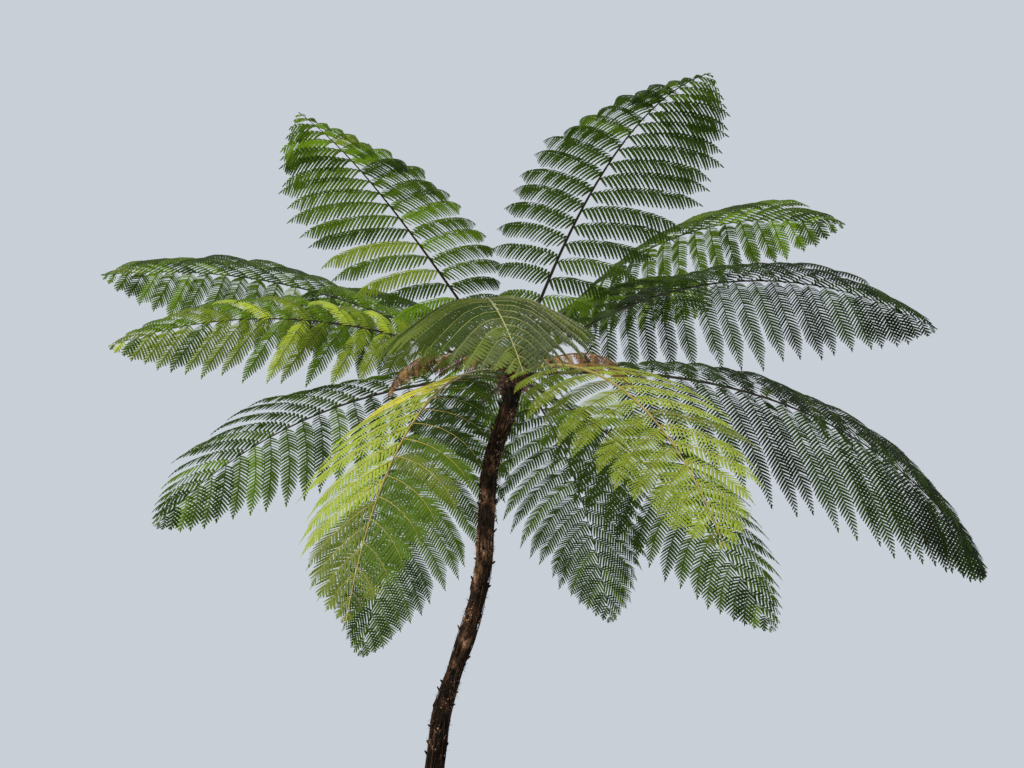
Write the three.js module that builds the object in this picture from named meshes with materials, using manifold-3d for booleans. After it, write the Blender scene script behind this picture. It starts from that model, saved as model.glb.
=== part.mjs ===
// Slender tree fern on its own trunk, in millimetres, +Z up.
// The origin is the middle of the flat cut under the trunk, at ground level.
// +X is the side that the trunk leans to, and +Y is the far side.
import * as THREE from 'three';
import Module from 'manifold-3d';

const wasm = await Module();
wasm.setup();

const seatGap = 0.3;
const leafGap = 2;

// Trunk: a lean to +X, a bow in its lower half and a wave under the crown.
const trunk = {
  height: 5225,
  lean: 900,
  bow: 55,
  bowTop: 3100,
  wave: 40,
  waveLength: 1650,
  waveMiddle: 3530,
  waveFade: 500,
  sway: 30,
  radius: 47,
  footRadius: 60,
  topRadius: 55,
  topSwell: 400,
  flareRadius: 58,
  flareHeight: 520,
  lobes: 5,
  lobeDepth: 0.16,
  sides: 12,
  stations: 19,
  crowdingAtFoot: 1.25,
};

// Scaly head that the fronds grow from: half an egg above its middle, and half of a
// longer one below, cut off flat at the trunk.
const head = { radius: 84, footRadius: 60, below: 135, belowHalf: 182, above: 150, sides: 14, steps: 8 };
const crownHeight = trunk.height + seatGap + head.below;

// A steeper, younger frond is seated higher on the head.
const seatAtLevel = -27;
const seatPerDegree = 1.6;

// Rachis and leaflets shared by the living fronds.
const blade = {
  sides: 4,
  segments: 10,
  baseRadius: 12.5,
  tipRadius: 3.8,
  taper: 0.8,
  bend: 1.35,
  rootDepth: 26,
  firstLeaflet: 0.19,
  lastLeaflet: 0.985,
  pairs: 14,
  crowding: 1.14,
  leafletLength: 720,
  fill: 0.8,
  rootFill: 0.34,
  widest: 0.34,
  widestAt: 0.42,
  thickness: 0.0105,
  leastThickness: 2.5,
  openAngle: 78,
  closedAngle: 42,
  innerSag: 0.12,
  outerSag: 0.52,
  rolledFrom: 0.25,
};

// Outline of a blade as shares of its length: it swells from the stalk, is full over
// its middle and narrows to its tip. The last two say where leaflets that are kept
// short on the trunk's side begin to lengthen, and where they are full again.
const outline = {
  stalk: 0.5,
  swellFrom: -0.1,
  fullFrom: 0.32,
  fullTo: 0.42,
  roundness: 1.7,
  narrowing: 0.93,
  insideShortTo: 0.1,
  insideFullFrom: 0.6,
};

// Fronds drooping by more than this are two nodes, parted near the middle.
const partedDroop = 70;
const partedAt = 0.52;

// Lengths and lifts that a leaflet is tried with, until it is clear of every other node.
const triedLengths = [1, 0.85, 0.7, 0.5];
const triedLifts = [0, 0.18, -0.2, 0.36, -0.4];

// Heading clockwise from the far side as seen from above, launch above level and droop
// along the frond, all in degrees; length in metres; sweep is the turn of the heading and
// roll the turn of the blade about its rib; spread scales the leaflets' length, sag their
// hang, and shortInside the length of the first ones on the trunk's side.
const fronds = [
  {
    name: 'front', heading: 192, launch: -9, droop: 50, length: 3.1, sweep: -29,
    spread: 1.02, sag: 1.4, roll: 6,
  },
  {
    name: 'near_right', heading: 155, launch: -17, droop: 54, length: 2.75, sweep: -4,
    bend: 1, spread: 0.88, sag: 0.7, roll: 20,
  },
  {
    name: 'near_left', heading: -161, launch: -22, droop: 58, length: 2.95, sweep: 4,
    bend: 1.1, spread: 0.92, sag: 0.8, shortInside: 0.5,
  },
  { name: 'overhead_left', heading: -156, launch: 7, droop: 37, length: 2.96, sweep: -15, spread: 0.77 },
  { name: 'overhead_right', heading: 164, launch: 18, droop: 56, length: 3.04, sweep: 1, spread: 0.83 },
  { name: 'broad_right', heading: 94, launch: 2, droop: 76, length: 3.1, sweep: 12, spread: 1.3, sag: 2.2 },
  { name: 'high_right', heading: 80, launch: 44, droop: 79, length: 3.1, sweep: 5, spread: 1.05, sag: 1.9 },
  { name: 'back_right', heading: 66, launch: 60, droop: 62, length: 3.25, sweep: 11, sag: 1.2 },
  { name: 'high_left', heading: -80, launch: 36, droop: 37, length: 3.08, sweep: -1, sag: 1.3 },
  { name: 'mid_left', heading: -99, launch: 21, droop: 48, length: 2.45, sweep: 6, spread: 0.82 },
  { name: 'low_left', heading: -64, launch: 11, droop: 54, length: 2.75, sweep: -3 },
  { name: 'hanging_right', heading: 14, launch: 18, droop: 74, length: 3.1, sweep: 4 },
  { name: 'low_right', heading: 38, launch: 5, droop: 54, length: 3.1, sweep: 8 },
  { name: 'hanging_left', heading: -22, launch: 10, droop: 76, length: 3, sweep: -8 },
  { name: 'far_left', heading: -42, launch: 54, droop: 62, length: 3, sweep: -6 },
  { name: 'far_right', heading: 36, launch: 58, droop: 56, length: 3, sweep: 8 },
  { name: 'far', heading: -4, launch: 48, droop: 68, length: 2.9, sweep: 4, spread: 0.95 },
];

// Short dead fronds that hang under the living ones.
const deadFronds = [
  { name: 'dead_right', heading: 118, launch: 14, droop: 95, length: 0.95, sweep: 6 },
  { name: 'dead_left', heading: -124, launch: 8, droop: 90, length: 1.05, sweep: -8 },
];
const deadBlade = {
  ...blade,
  segments: 7,
  baseRadius: 9,
  pairs: 7,
  leafletLength: 210,
  fill: 0.5,
  outerSag: 1.1,
};

const radians = THREE.MathUtils.degToRad;
const clamp = THREE.MathUtils.clamp;
const smoothstep = THREE.MathUtils.smoothstep;

// Closed solid through rings of equally many points, or of one point at a tip.
function loft(rings) {
  const points = rings.flat();
  const triangles = [];
  let start = 0;
  for (let i = 0; i + 1 < rings.length; i += 1) {
    const here = rings[i].length;
    const next = rings[i + 1].length;
    for (let k = 0; k < here; k += 1) {
      const a = start + k;
      const b = start + ((k + 1) % here);
      const c = start + here + (k % next);
      const d = start + here + ((k + 1) % next);
      triangles.push([a, b, c]);
      if (next > 1) triangles.push([b, d, c]);
    }
    start += here;
  }
  for (let k = 1; k + 1 < rings[0].length; k += 1) triangles.push([0, k + 1, k]);
  const last = rings[rings.length - 1].length;
  for (let k = 1; k + 1 < last; k += 1) triangles.push([start, start + k, start + k + 1]);
  return toSolid(points, triangles);
}

function signedVolume(points, triangles) {
  const normal = new THREE.Vector3();
  const add = (sum, [a, b, c]) => sum + points[a].dot(normal.crossVectors(points[b], points[c]));
  return triangles.reduce(add, 0) / 6;
}

function toSolid(points, triangles) {
  const outward = signedVolume(points, triangles) > 0;
  const vertProperties = new Float32Array(points.flatMap((point) => point.toArray()));
  const triVerts = new Uint32Array(triangles.flatMap(([a, b, c]) => (outward ? [a, b, c] : [a, c, b])));
  return new wasm.Manifold(new wasm.Mesh({ numProp: 3, vertProperties, triVerts }));
}

// Middle of the trunk at a height.
function trunkMiddle(z) {
  const lower = Math.min(z, trunk.bowTop) / trunk.bowTop;
  const rise = smoothstep(z, trunk.bowTop - trunk.waveFade / 2, trunk.bowTop + trunk.waveFade / 2);
  const fall = 1 - smoothstep(z, trunk.height - trunk.waveFade, trunk.height);
  const turn = (2 * Math.PI * (z - trunk.waveMiddle)) / trunk.waveLength;
  const wave = trunk.wave * rise * fall * Math.sin(turn);
  const x = (trunk.lean * z) / trunk.height - trunk.bow * Math.sin(Math.PI * lower) + wave;
  return new THREE.Vector3(x, trunk.sway * Math.sin((2 * Math.PI * z) / trunk.height), z);
}

function trunkRadius(z, angle) {
  const flare = Math.max(0, 1 - z / trunk.flareHeight) ** 2;
  const top = smoothstep(z, trunk.height - trunk.topSwell, trunk.height);
  const taper = THREE.MathUtils.lerp(trunk.footRadius, trunk.radius, Math.min(1, z / trunk.bowTop));
  const round = THREE.MathUtils.lerp(taper, trunk.topRadius, top) + trunk.flareRadius * flare;
  return round * (1 + trunk.lobeDepth * flare * Math.cos(trunk.lobes * angle));
}

function makeTrunk() {
  const rings = [];
  for (let i = 0; i <= trunk.stations; i += 1) {
    const z = trunk.height * (i / trunk.stations) ** trunk.crowdingAtFoot;
    const ring = [];
    for (let k = 0; k < trunk.sides; k += 1) {
      const angle = (2 * Math.PI * k) / trunk.sides;
      const out = new THREE.Vector3(Math.cos(angle), Math.sin(angle), 0);
      ring.push(trunkMiddle(z).addScaledVector(out, trunkRadius(z, angle)));
    }
    rings.push(ring);
  }
  return loft(rings);
}

const crown = trunkMiddle(trunk.height).setZ(crownHeight);

// Half width of the head at a height over the crown's middle.
function headRadius(z, grow = 0) {
  const half = z > 0 ? head.above + grow : head.belowHalf;
  return (head.radius + grow) * Math.sqrt(Math.max(0, 1 - (z / half) ** 2));
}

function makeHead(grow) {
  const rings = [];
  for (let i = 0; i < head.steps; i += 1) {
    const z = -head.below - grow + ((head.below + head.above + 2 * grow) * i) / head.steps;
    const radius = Math.max(headRadius(z, grow), i === 0 ? head.footRadius : 0);
    const ring = [];
    for (let k = 0; k < head.sides; k += 1) {
      const angle = (2 * Math.PI * k) / head.sides;
      ring.push(new THREE.Vector3(radius * Math.cos(angle), radius * Math.sin(angle), z).add(crown));
    }
    rings.push(ring);
  }
  rings.push([new THREE.Vector3(0, 0, head.above + grow).add(crown)]);
  return loft(rings);
}

// Heading and slope of a frond at a share of its length, as a frame of three directions;
// its roll builds up over the bare stalk.
function frondFrame(frond, share) {
  const slope = radians(frond.launch - frond.droop * share ** (frond.bend ?? blade.bend));
  const heading = radians(frond.heading + frond.sweep * share);
  const roll = radians((frond.roll ?? 0) * Math.min(1, share / blade.rolledFrom));
  const along = new THREE.Vector3(
    Math.sin(heading) * Math.cos(slope),
    Math.cos(heading) * Math.cos(slope),
    Math.sin(slope),
  );
  const side = new THREE.Vector3(Math.cos(heading), -Math.sin(heading), 0).applyAxisAngle(along, roll);
  return { along, side, up: new THREE.Vector3().crossVectors(side, along) };
}

// Middle line of a frond, as places at equal steps from its root in the head.
function frondLine(frond, shape) {
  const seat = seatAtLevel + seatPerDegree * frond.launch;
  const start = frondFrame(frond, 0);
  const out = new THREE.Vector3().crossVectors(new THREE.Vector3(0, 0, 1), start.side);
  const place = crown.clone().addScaledVector(out, headRadius(seat));
  place.z += seat;
  place.addScaledVector(start.along, -shape.rootDepth);
  const line = [place.clone()];
  for (let i = 0; i < shape.segments; i += 1) {
    const step = frondFrame(frond, (i + 0.5) / shape.segments).along;
    place.addScaledVector(step, (1000 * frond.length) / shape.segments);
    line.push(place.clone());
  }
  return line;
}

function placeOn(line, share) {
  const at = clamp(share, 0, 1) * (line.length - 1);
  const step = Math.min(Math.floor(at), line.length - 2);
  return line[step].clone().lerp(line[step + 1], at - step);
}

function rachisRadius(shape, share) {
  return THREE.MathUtils.lerp(shape.baseRadius, shape.tipRadius, share ** shape.taper);
}

function makeRachis(frond, shape, line, from, to) {
  const bends = Array.from({ length: shape.segments - 1 }, (_, i) => (i + 1) / shape.segments);
  const margin = 0.1 / shape.segments;
  const inside = bends.filter((share) => share > from + margin && share < to - margin);
  const rings = [];
  for (const share of [from, ...inside, to]) {
    const { side, up } = frondFrame(frond, share);
    const radius = rachisRadius(shape, share);
    const ring = [];
    for (let k = 0; k < shape.sides; k += 1) {
      const angle = (2 * Math.PI * (k + 0.5)) / shape.sides;
      const point = placeOn(line, share);
      point.addScaledVector(side, radius * Math.cos(angle)).addScaledVector(up, radius * Math.sin(angle));
      ring.push(point);
    }
    rings.push(ring);
  }
  return loft(rings);
}

// Share of the longest leaflet's length that a leaflet has.
function leafletShare(along) {
  const swell = smoothstep(along, outline.swellFrom, outline.fullFrom);
  const fall = Math.max(0, (along - outline.fullTo) / (1 - outline.fullTo)) ** outline.roundness;
  return THREE.MathUtils.lerp(outline.stalk, 1, swell) * (1 - outline.narrowing * fall);
}

// One leaflet as a thin three-sided blade with a ridge on top, bent down at its widest.
function makeLeaflet(frond, shape, line, leaflet, trial) {
  const { along, side, up } = frondFrame(frond, leaflet.share);
  const angle = radians(THREE.MathUtils.lerp(shape.openAngle, shape.closedAngle, leaflet.along));
  const flat = along.clone().multiplyScalar(Math.cos(angle));
  flat.addScaledVector(side, leaflet.hand * Math.sin(angle));
  const sag = frond.sag ?? 1;
  const inner = flat.clone().addScaledVector(up, trial.lift);
  const outer = inner.clone();
  inner.z -= shape.innerSag * sag;
  outer.z -= shape.outerSag * sag;
  inner.normalize();
  outer.normalize();
  const length = leaflet.length * trial.scale;
  const across = along.clone().addScaledVector(inner, -along.dot(inner)).normalize();
  const over = new THREE.Vector3().crossVectors(across, inner).multiplyScalar(-leaflet.hand).normalize();
  const thick = Math.max(length * shape.thickness, shape.leastThickness);
  const root = placeOn(line, leaflet.share);
  const middle = root.clone().addScaledVector(inner, length * shape.widestAt);
  const tip = middle.clone().addScaledVector(outer, length * (1 - shape.widestAt));
  const ring = (place, direction, width) => [
    place.clone().addScaledVector(direction, width / 2),
    place.clone().addScaledVector(over, (thick * width) / leaflet.width),
    place.clone().addScaledVector(direction, -width / 2),
  ];
  return loft([ring(root, along, leaflet.rootWidth), ring(middle, across, leaflet.width), [tip]]);
}

// Leaflets of one pair after another, from the stalk to the tip.
function leafletsOf(frond, shape) {
  const span = shape.lastLeaflet - shape.firstLeaflet;
  const stations = [];
  for (let i = 0; i < shape.pairs; i += 1) {
    const along = 1 - (1 - i / (shape.pairs - 1)) ** shape.crowding;
    stations.push({ along, share: shape.firstLeaflet + span * along });
  }
  const leaflets = [];
  stations.forEach((station, i) => {
    const before = stations[Math.max(i - 1, 0)].share;
    const after = stations[Math.min(i + 1, stations.length - 1)].share;
    const gaps = i > 0 && i < stations.length - 1 ? 2 : 1;
    const spacing = (1000 * frond.length * (after - before)) / gaps;
    const full = shape.leafletLength * leafletShare(station.along) * (frond.spread ?? 1);
    const grown = smoothstep(station.along, outline.insideShortTo, outline.insideFullFrom);
    const angle = radians(THREE.MathUtils.lerp(shape.openAngle, shape.closedAngle, station.along));
    const room = spacing * Math.sin(angle);
    for (const hand of [-1, 1]) {
      const inside = hand < 0 ? THREE.MathUtils.lerp(frond.shortInside ?? 1, 1, grown) : 1;
      const length = full * inside;
      const width = Math.min(room * shape.fill, length * shape.widest);
      const rootWidth = Math.min(spacing * shape.rootFill, width);
      leaflets.push({ ...station, hand, length, width, rootWidth });
    }
  });
  return leaflets;
}

// Nodes of one frond: one, or two that part midway between two pairs of leaflets.
function partsOf(frond, shape, line) {
  const leaflets = leafletsOf(frond, shape);
  const parts = [];
  const add = (name, from, to) => {
    const own = leaflets.filter((leaflet) => leaflet.share > from && leaflet.share < to);
    const rachis = makeRachis(frond, shape, line, from, to);
    parts.push({ name, frond, shape, line, leaflets: own, rachis });
  };
  if (shape === blade && frond.droop > partedDroop) {
    const middle = leaflets.findIndex((leaflet) => leaflet.share > partedAt);
    const bend = (leaflets[middle - 1].share + leaflets[middle].share) / 2;
    add(`frond_${frond.name}_inner`, 0, bend);
    add(`frond_${frond.name}_outer`, bend + seatGap / (1000 * frond.length), 1);
  } else {
    add(`frond_${frond.name}`, 0, 1);
  }
  return parts;
}

const trials = triedLengths.flatMap((scale) => triedLifts.map((lift) => ({ scale, lift })));

function boxesNear(a, b) {
  const near = (from, to, axis) => from.min[axis] - leafGap < to.max[axis];
  return [0, 1, 2].every((axis) => near(a, b, axis) && near(b, a, axis));
}

function isClear(solid, others) {
  const box = solid.boundingBox();
  const isApart = (other) => solid.minGap(other.solid, leafGap) >= leafGap;
  return others.every((other) => !boxesNear(box, other.box) || isApart(other));
}

const boxed = (solid) => ({ solid, box: solid.boundingBox() });

// Every rachis comes first, and then each leaflet that finds room among the rest.
function growFronds(trunkSolid, headSolid) {
  const cutter = makeHead(seatGap);
  const parts = [];
  for (const frond of fronds) parts.push(...partsOf(frond, blade, frondLine(frond, blade)));
  for (const frond of deadFronds) parts.push(...partsOf(frond, deadBlade, frondLine(frond, deadBlade)));
  for (const part of parts) part.rachis = part.rachis.subtract(cutter);
  for (const part of parts) part.pieces = [boxed(part.rachis)];
  const fixed = [boxed(trunkSolid), boxed(headSolid)];
  for (const part of parts) {
    const others = [...fixed, ...parts.filter((other) => other !== part).flatMap((other) => other.pieces)];
    for (const leaflet of part.leaflets) {
      for (const trial of trials) {
        const solid = makeLeaflet(part.frond, part.shape, part.line, leaflet, trial);
        if (isClear(solid, others)) {
          part.pieces.push(boxed(solid));
          break;
        }
      }
    }
  }
  return parts;
}

// One solid of a part's rachis and leaflets.
function joined(part) {
  return part.pieces.slice(1).reduce((sum, piece) => sum.add(piece.solid), part.pieces[0].solid);
}

function toGeometry(solid) {
  const mesh = solid.getMesh();
  const geometry = new THREE.BufferGeometry();
  geometry.setAttribute('position', new THREE.Float32BufferAttribute(mesh.vertProperties, 3));
  geometry.setIndex(Array.from(mesh.triVerts));
  geometry.computeVertexNormals();
  return geometry;
}

const finishes = {
  bark: { color: 0x4a3324, roughness: 0.95, metalness: 0 },
  scales: { color: 0x3a2517, roughness: 0.9, metalness: 0 },
  frond: { color: 0x4f7d24, roughness: 0.55, metalness: 0 },
  sunlit: { color: 0x9bb43a, roughness: 0.5, metalness: 0 },
  matte: { color: 0x7d9455, roughness: 0.65, metalness: 0 },
  dead: { color: 0x8a5a34, roughness: 0.85, metalness: 0 },
};
const finishOf = {
  front: 'matte',
  near_right: 'sunlit',
  near_left: 'sunlit',
  dead_right: 'dead',
  dead_left: 'dead',
};

const fern = new THREE.Group();
function addNode(name, solid, finish) {
  const mesh = new THREE.Mesh(toGeometry(solid), new THREE.MeshStandardMaterial(finishes[finish]));
  mesh.name = name;
  fern.add(mesh);
}

const trunkSolid = makeTrunk();
const headSolid = makeHead(0);
addNode('trunk', trunkSolid, 'bark');
addNode('crown_head', headSolid, 'scales');
for (const part of growFronds(trunkSolid, headSolid)) {
  addNode(part.name, joined(part), finishOf[part.frond.name] ?? 'frond');
}

export default fern;
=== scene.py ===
# Looks of the slender tree fern, in metres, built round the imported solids.
import math
from collections import namedtuple

import bpy
import numpy as np
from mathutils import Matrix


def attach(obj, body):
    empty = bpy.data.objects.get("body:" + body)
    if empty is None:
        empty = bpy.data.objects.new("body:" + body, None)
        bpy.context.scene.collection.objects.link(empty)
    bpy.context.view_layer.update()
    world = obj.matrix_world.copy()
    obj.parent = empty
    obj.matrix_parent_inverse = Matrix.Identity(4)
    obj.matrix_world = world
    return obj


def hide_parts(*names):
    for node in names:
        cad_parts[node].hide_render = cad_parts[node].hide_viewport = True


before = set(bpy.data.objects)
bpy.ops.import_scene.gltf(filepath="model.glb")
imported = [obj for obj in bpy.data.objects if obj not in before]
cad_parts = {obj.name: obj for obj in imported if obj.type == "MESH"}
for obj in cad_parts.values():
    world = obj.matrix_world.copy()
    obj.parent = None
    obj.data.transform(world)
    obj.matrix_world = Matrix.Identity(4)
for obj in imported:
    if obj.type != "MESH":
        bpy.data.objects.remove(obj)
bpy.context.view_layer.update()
SEED = 41
rng = np.random.default_rng(SEED)
UP = np.array([0.0, 0.0, 1.0])
ACROSS = np.array([1.0, 0.0, 0.0])
FULL_TURN = 2 * np.pi
GOLDEN_TURN = 2.39996
TINY = 1e-12

# Camera at eye level that looks up into the crown.
CAMERA_PLACE = (0.9, -6.3716, 1.5959)
CAMERA_RISE = 30.0
CAMERA_LENS = 42.19
CAMERA_SENSOR = 36.0
CAMERA_REACH = 200.0

# Trunk and head, with the values of the part's source.
TRUNK_HEIGHT = 5.225
LEAN = 0.9
BOW = 0.055
BOW_TOP = 3.1
WAVE = 0.04
WAVE_LENGTH = 1.65
WAVE_MIDDLE = 3.53
WAVE_FADE = 0.5
SWAY = 0.03
TRUNK_RADIUS = 0.047
FOOT_RADIUS = 0.06
TOP_RADIUS = 0.055
TOP_SWELL = 0.4
FLARE_RADIUS = 0.058
FLARE_HEIGHT = 0.52
LOBES = 5
LOBE_DEPTH = 0.16
HEAD_RADIUS = 0.084
HEAD_BELOW = 0.135
HEAD_BELOW_HALF = 0.182
HEAD_ABOVE = 0.15
SEAT_GAP = 0.0003
SEAT_AT_LEVEL = -0.027
SEAT_PER_DEGREE = 0.0016
CROWN = np.array([LEAN, 0.0, TRUNK_HEIGHT + SEAT_GAP + HEAD_BELOW])

# Blade of the living fronds, with the source's rule carried to finer leaflets.
RIB_BASE = 0.0125
RIB_TIP = 0.0017
RIB_TAPER = 0.8
ROOT_DEPTH = 0.026
FIRST_LEAFLET = 0.19
LAST_LEAFLET = 0.985
CROWDING = 1.14
LEAFLET_LENGTH = 0.72
OPEN_ANGLE = 78.0
CLOSED_ANGLE = 42.0
STALK = 0.5
FULL_FROM = 0.32
FULL_TO = 0.42
SWELL_FROM = -0.1
ROUNDNESS = 1.7
NARROWING = 0.93
ROLL_UNTIL = 0.25
STAGGER = 0.25
INSIDE_SHORT_TO = 0.1
INSIDE_FULL_FROM = 0.6

Frond = namedtuple("Frond", "name heading launch droop length sweep bend spread sag roll pairs hang look")

# Angles in degrees and lengths in metres, as in the source; hang is that of the teeth.
FRONDS = [
    Frond("front", 192, -9, 50, 3.10, -29, 1.35, 1.02, 1.40, 6, 20, 0.80, "grey"),
    Frond("near_right", 155, -17, 54, 2.75, -4, 1.00, 0.88, 0.70, 20, 15, 0.25, "sunlit_lime"),
    Frond("near_left", -161, -22, 58, 2.95, 4, 1.10, 0.92, 0.80, 0, 17, 0.30, "sunlit_gold"),
    Frond("overhead_left", -156, 7, 37, 2.96, -15, 1.35, 0.77, 1.00, 0, 19, 1.10, "bright"),
    Frond("overhead_right", 164, 18, 56, 3.04, 1, 1.35, 0.83, 1.00, 0, 19, 1.20, "deep"),
    Frond("broad_right", 94, 2, 76, 3.10, 12, 1.35, 1.30, 2.20, 0, 23, 0.45, "shade"),
    Frond("high_right", 80, 44, 79, 3.10, 5, 1.35, 1.05, 1.90, 0, 21, 0.70, "shade"),
    Frond("back_right", 66, 60, 62, 3.25, 11, 1.35, 1.00, 1.20, 0, 20, 0.80, "mid"),
    Frond("high_left", -80, 36, 37, 3.08, -1, 1.35, 1.00, 1.30, 0, 20, 0.90, "bright"),
    Frond("mid_left", -99, 21, 48, 2.45, 6, 1.35, 0.82, 1.00, 0, 18, 0.80, "sunny"),
    Frond("low_left", -64, 11, 54, 2.75, -3, 1.35, 1.00, 1.00, 0, 19, 0.60, "coarse"),
    Frond("hanging_right", 14, 18, 74, 3.10, 4, 1.35, 1.00, 1.00, 0, 19, 0.50, "deep"),
    Frond("low_right", 38, 5, 54, 3.10, 8, 1.35, 1.00, 1.00, 0, 19, 0.60, "coarse"),
    Frond("hanging_left", -22, 10, 76, 3.00, -8, 1.35, 1.00, 1.00, 0, 19, 0.50, "deep"),
    Frond("far_left", -42, 54, 62, 3.00, -6, 1.35, 1.00, 1.00, 0, 19, 0.80, "mid"),
    Frond("far_right", 36, 58, 56, 3.00, 8, 1.35, 1.00, 1.00, 0, 19, 0.80, "mid"),
    Frond("far", -4, 48, 68, 2.90, 4, 1.35, 0.95, 1.00, 0, 18, 0.70, "mid"),
]

# Short dead fronds that hang under the living ones.
DEAD = [
    Frond("dead_right", 118, 14, 95, 0.95, 6, 1.35, 1.0, 1.5, 0, 13, 1.6, "dead"),
    Frond("dead_left", -124, 8, 90, 1.05, -8, 1.35, 1.0, 1.5, 0, 13, 1.6, "dead"),
]

# Fronds that the source has as two nodes.
PARTED = ("broad_right", "high_right", "hanging_right", "hanging_left")

# Share of their full length that the first leaflets on the trunk's side have.
SHORT_INSIDE = {"near_left": 0.5}

# Pieces that the fronds are joined into, with a slot name for each.
GROUPS = [
    ("near", "sunlit_fronds", ("near_right", "near_left")),
    ("front", "fronds", ("front", "overhead_left", "overhead_right")),
    ("right", "fronds", ("broad_right", "high_right", "back_right")),
    ("left", "fronds", ("high_left", "mid_left", "low_left")),
    ("low", "fronds", ("hanging_right", "low_right", "hanging_left")),
    ("far", "fronds", ("far_left", "far_right", "far")),
]

# Chances of the leaf tones, tones of both kinds of rib, and a tooth's length, width and room.
Look = namedtuple("Look", "chances rib costa tooth fill spacing")
# The lime, gold and sunny looks deal out tones of painted sunlight, and the shade look deals out tones of
# painted shade.
LOOKS = {
    # The grey look's straw costae are pale partly in their own colour and partly as painted highlight
    # along the leaflets' ridges.
    "grey": Look({"grey": 0.54, "olive": 0.20, "mid": 0.26}, "straw", "straw", 0.74, 0.80, 0.0200),
    "sunlit_lime": Look({"sunlit_lime": 0.84, "olive": 0.16}, "tan", "tan", 0.58, 0.68, 0.0205),
    "sunlit_gold": Look({"bright": 0.62, "mid": 0.20, "olive": 0.18}, "tan", "tan", 0.68, 0.80, 0.0200),
    "sunny": Look(
        {"olive": 0.34, "sunlit_lime": 0.30, "bright": 0.20, "mid": 0.16}, "black", "green", 0.72, 0.78, 0.0220
    ),
    "bright": Look(
        {"bright": 0.32, "mid": 0.40, "olive": 0.12, "deep": 0.16}, "black", "green", 0.76, 0.80, 0.0215
    ),
    "mid": Look({"mid": 0.50, "deep": 0.35, "bright": 0.15}, "black", "green", 0.70, 0.84, 0.0265),
    "coarse": Look({"mid": 0.45, "deep": 0.40, "bright": 0.15}, "black", "green", 0.72, 0.74, 0.0295),
    "deep": Look({"deep": 0.62, "mid": 0.34, "bright": 0.04}, "black", "green", 0.76, 0.76, 0.0235),
    "shade": Look({"shade": 0.55, "deep": 0.45}, "black", "green", 0.78, 0.66, 0.0245),
    "dead": Look({}, "black", "black", 0.80, 0.72, 0.0150),
}

# Each leaf tone's colour, and the colour of the light that passes through it; the shade tone is painted
# shade, and the lime and gold tones are painted sunlight.
LEAF_COLOURS = {
    "shade": ((0.009, 0.016, 0.006), (0.020, 0.036, 0.005)),
    "deep": ((0.017, 0.034, 0.004), (0.040, 0.084, 0.004)),
    "mid": ((0.032, 0.056, 0.005), (0.084, 0.158, 0.006)),
    "bright": ((0.062, 0.106, 0.008), (0.160, 0.290, 0.010)),
    "olive": ((0.100, 0.135, 0.020), (0.240, 0.330, 0.020)),
    "sunlit_lime": ((0.250, 0.325, 0.040), (0.580, 0.710, 0.062)),
    "sunlit_gold": ((0.500, 0.480, 0.060), (0.860, 0.800, 0.080)),
    "grey": ((0.080, 0.106, 0.030), (0.120, 0.170, 0.022)),
    "rust": ((0.240, 0.140, 0.035), (0.480, 0.250, 0.035)),
}
TONES = list(LEAF_COLOURS)

# Dark and light colour of each rib tone.
RIB_COLOURS = {
    "black": ((0.012, 0.008, 0.006), (0.045, 0.028, 0.018)),
    "tan": ((0.240, 0.180, 0.035), (0.420, 0.330, 0.080)),
    "green": ((0.070, 0.100, 0.022), (0.150, 0.190, 0.045)),
    "straw": ((0.210, 0.220, 0.070), (0.340, 0.340, 0.120)),
}
RIB_TONES = list(RIB_COLOURS)


def smoothstep(x, low, high):
    t = np.clip((x - low) / (high - low), 0, 1)
    return t * t * (3 - 2 * t)


def lerp(a, b, t):
    return a + (b - a) * t


def unit(v):
    return v / np.maximum(np.linalg.norm(v, axis=-1, keepdims=True), TINY)


# The vector v less a share of its part along the unit vector w.
def without(v, w, share=1.0):
    return v - w * np.sum(w * v, -1, keepdims=True) * share


# Angles of evenly spaced sides, and the level ways that angles point in.
def ring_turns(sides):
    return np.arange(sides) * FULL_TURN / sides


def around(turn):
    return np.stack([np.cos(turn), np.sin(turn), 0 * turn], -1)


def within_half_turn(turn):
    return (turn + np.pi) % FULL_TURN - np.pi


# Middle line and outline of the trunk.
def trunk_middle(z):
    z = np.asarray(z, float)
    lower = np.minimum(z, BOW_TOP) / BOW_TOP
    rise = smoothstep(z, BOW_TOP - WAVE_FADE / 2, BOW_TOP + WAVE_FADE / 2)
    fall = 1 - smoothstep(z, TRUNK_HEIGHT - WAVE_FADE, TRUNK_HEIGHT)
    turn = FULL_TURN * (z - WAVE_MIDDLE) / WAVE_LENGTH
    x = LEAN * z / TRUNK_HEIGHT - BOW * np.sin(np.pi * lower) + WAVE * rise * fall * np.sin(turn)
    y = SWAY * np.sin(FULL_TURN * z / TRUNK_HEIGHT)
    return np.stack([x, y, z], -1)


def trunk_radius(z, a):
    flare = np.maximum(0, 1 - z / FLARE_HEIGHT) ** 2
    top = smoothstep(z, TRUNK_HEIGHT - TOP_SWELL, TRUNK_HEIGHT)
    taper = lerp(FOOT_RADIUS, TRUNK_RADIUS, np.minimum(1, z / BOW_TOP))
    base = lerp(taper, TOP_RADIUS, top) + FLARE_RADIUS * flare
    return base * (1 + LOBE_DEPTH * flare * np.cos(LOBES * a))


def head_radius(z):
    half = np.where(z > 0, HEAD_ABOVE, HEAD_BELOW_HALF)
    return HEAD_RADIUS * np.sqrt(np.maximum(0, 1 - (z / half) ** 2))


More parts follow.
